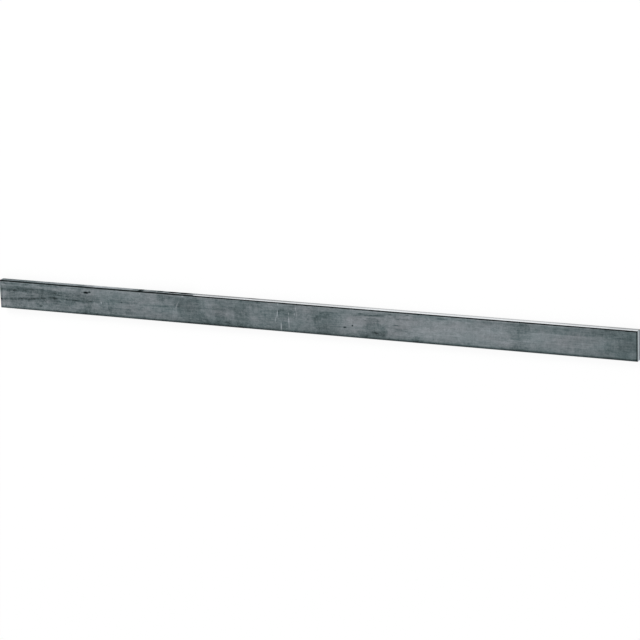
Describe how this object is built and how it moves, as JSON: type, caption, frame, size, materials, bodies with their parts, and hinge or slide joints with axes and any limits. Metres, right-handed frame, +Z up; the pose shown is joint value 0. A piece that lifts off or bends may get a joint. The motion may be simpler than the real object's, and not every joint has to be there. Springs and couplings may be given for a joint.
{
  "type": "metal flat bar",
  "caption": "Straight hot-rolled steel flat bar with rounded long corners and square sawn ends, raw stock for frames, brackets and stiffeners.",
  "frame": {"origin": "centre of the wide face that the bar lies on, on the floor under the middle of the bar", "axes": "+X along the bar, +Y across its width, +Z up through its thickness, out of the upper wide face"},
  "size_m": [0.7, 0.03, 0.008],
  "materials": {
    "rolled_steel": "satin"
  },
  "bodies": {
    "root": {"flat_bar": "rolled_steel"}
  },
  "joints": []
}
